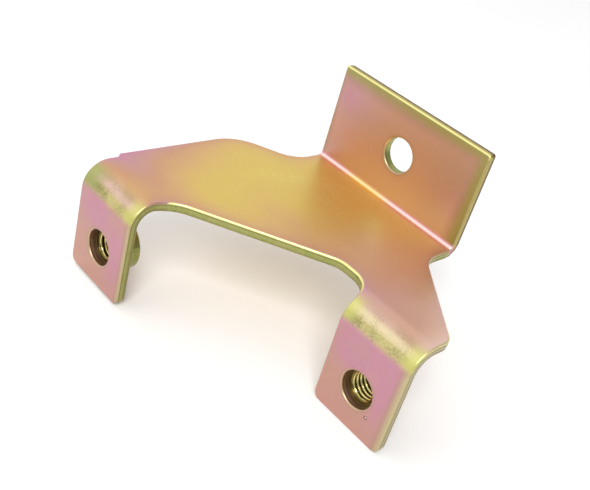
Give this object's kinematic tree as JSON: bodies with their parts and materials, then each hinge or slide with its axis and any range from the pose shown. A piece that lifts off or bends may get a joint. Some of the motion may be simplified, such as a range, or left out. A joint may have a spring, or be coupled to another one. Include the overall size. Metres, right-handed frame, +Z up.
{
  "type": "stamped metal bracket",
  "caption": "Folded sheet-steel bracket: an upright flange with a bolt hole, a level web that spreads into arms, and down-turned ears backed by threaded weld nuts.",
  "frame": {"origin": "centre of the flange hole, on the flange's back face", "axes": "+X along the folds, from the long arm's side to the short arm's side; +Y out of the flange's back face; +Z up, from the web towards the flange's free edge"},
  "size_m": [0.0904, 0.07, 0.057],
  "materials": {
    "plated_sheet": "yellow passivated zinc plate over smooth rolled sheet, satin",
    "plated_nut": "yellow passivated zinc plate over turned steel, satin"
  },
  "bodies": {
    "root": {"bracket_plate": "plated_sheet", "weld_nut_left": "plated_nut", "weld_nut_right": "plated_nut"}
  },
  "joints": []
}
